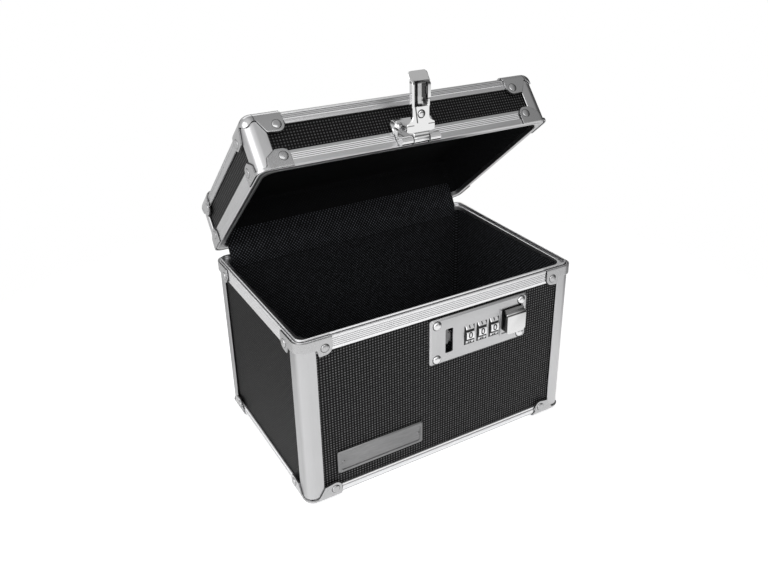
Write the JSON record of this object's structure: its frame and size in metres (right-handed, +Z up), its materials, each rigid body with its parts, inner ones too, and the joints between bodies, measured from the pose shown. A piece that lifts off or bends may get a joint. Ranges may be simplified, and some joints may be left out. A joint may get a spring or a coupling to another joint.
{
  "type": "medication lock box",
  "caption": "Hinged black lock box in an aluminium frame with steel corners, a dial combination latch with a push button and a hasp, shown with its lid open",
  "frame": {"origin": "middle of the bottom panel's underside", "axes": "+X to the right seen from the front, +Y to the back, +Z up"},
  "size_m": [0.2146, 0.1709, 0.2654],
  "materials": {
    "laminate": "woven-look black laminate",
    "lining_cloth": "black woven cloth",
    "extruded_aluminium": "satin, ribbed",
    "corner_steel": "bright pressed sheet",
    "mechanism_steel": "plain",
    "satin_zinc": "satin plated",
    "bright_chrome": "polished",
    "case_plastic": "black"
  },
  "bodies": {
    "body": {"front_panel": "laminate", "rear_panel": "laminate", "left_panel": "laminate", "right_panel": "laminate", "bottom_panel": "laminate", "front_left_post": "extruded_aluminium", "front_right_post": "extruded_aluminium", "rear_left_post": "extruded_aluminium", "rear_right_post": "extruded_aluminium", "body_rim": "extruded_aluminium", "front_base_edge": "extruded_aluminium", "rear_base_edge": "extruded_aluminium", "left_base_edge": "extruded_aluminium", "right_base_edge": "extruded_aluminium", "front_left_bottom_corner": "corner_steel", "front_right_bottom_corner": "corner_steel", "rear_left_bottom_corner": "corner_steel", "rear_right_bottom_corner": "corner_steel", "front_left_rim_corner": "corner_steel", "front_right_rim_corner": "corner_steel", "rear_left_rim_corner": "corner_steel", "rear_right_rim_corner": "corner_steel", "body_lining": "lining_cloth", "lock_plate": "satin_zinc", "lock_case": "case_plastic", "release_spring": "mechanism_steel", "nameplate": "satin_zinc", "hinge_body_leaf": "extruded_aluminium", "hinge_flap": "lining_cloth"},
    "dial_1": {"dial_1": "satin_zinc"},
    "dial_2": {"dial_2": "satin_zinc"},
    "dial_3": {"dial_3": "satin_zinc"},
    "release": {"release_button": "bright_chrome", "latch_slide": "mechanism_steel"},
    "lid": {"lid_front_panel": "laminate", "lid_rear_panel": "laminate", "lid_left_panel": "laminate", "lid_right_panel": "laminate", "lid_top_panel": "laminate", "lid_front_left_post": "extruded_aluminium", "lid_front_right_post": "extruded_aluminium", "lid_rear_left_post": "extruded_aluminium", "lid_rear_right_post": "extruded_aluminium", "lid_rim": "extruded_aluminium", "lid_front_top_edge": "extruded_aluminium", "lid_rear_top_edge": "extruded_aluminium", "lid_left_top_edge": "extruded_aluminium", "lid_right_top_edge": "extruded_aluminium", "lid_front_left_top_corner": "corner_steel", "lid_front_right_top_corner": "corner_steel", "lid_rear_left_top_corner": "corner_steel", "lid_rear_right_top_corner": "corner_steel", "lid_front_left_rim_corner": "corner_steel", "lid_front_right_rim_corner": "corner_steel", "lid_rear_left_rim_corner": "corner_steel", "lid_rear_right_rim_corner": "corner_steel", "lid_lining": "lining_cloth", "hinge_lid_leaf": "extruded_aluminium", "hasp_base": "bright_chrome"},
    "hasp": {"hasp_arm": "bright_chrome"}
  },
  "joints": [
    {"name": "lid_hinge", "type": "hinge", "parent": "body", "child": "lid", "pos_m": [0, 0.07355, 0.1212], "axis": [-1, 0, 0], "range_deg": [-40.5, 59.5], "deforming": ["hinge_flap"]},
    {"name": "hasp_pivot", "type": "hinge", "parent": "lid", "child": "hasp", "pos_m": [0.0002, -0.03626, 0.21959], "axis": [-1, 0, 0], "range_deg": [-140, 0]},
    {"name": "button_slide", "type": "slide", "parent": "body", "child": "release", "axis": [-1, 0, 0], "range_m": [0, 0.0015], "stiffness_N_per_m": 800, "springref_m": -0.0006, "deforming": ["release_spring"]},
    {"name": "dial_1_turn", "type": "hinge", "parent": "body", "child": "dial_1", "pos_m": [0.01735, -0.06165, 0.0909], "axis": [1, 0, 0], "continuous": true},
    {"name": "dial_2_turn", "type": "hinge", "parent": "body", "child": "dial_2", "pos_m": [0.0274, -0.06165, 0.0909], "axis": [1, 0, 0], "continuous": true},
    {"name": "dial_3_turn", "type": "hinge", "parent": "body", "child": "dial_3", "pos_m": [0.03745, -0.06165, 0.0909], "axis": [1, 0, 0], "continuous": true}
  ]
}
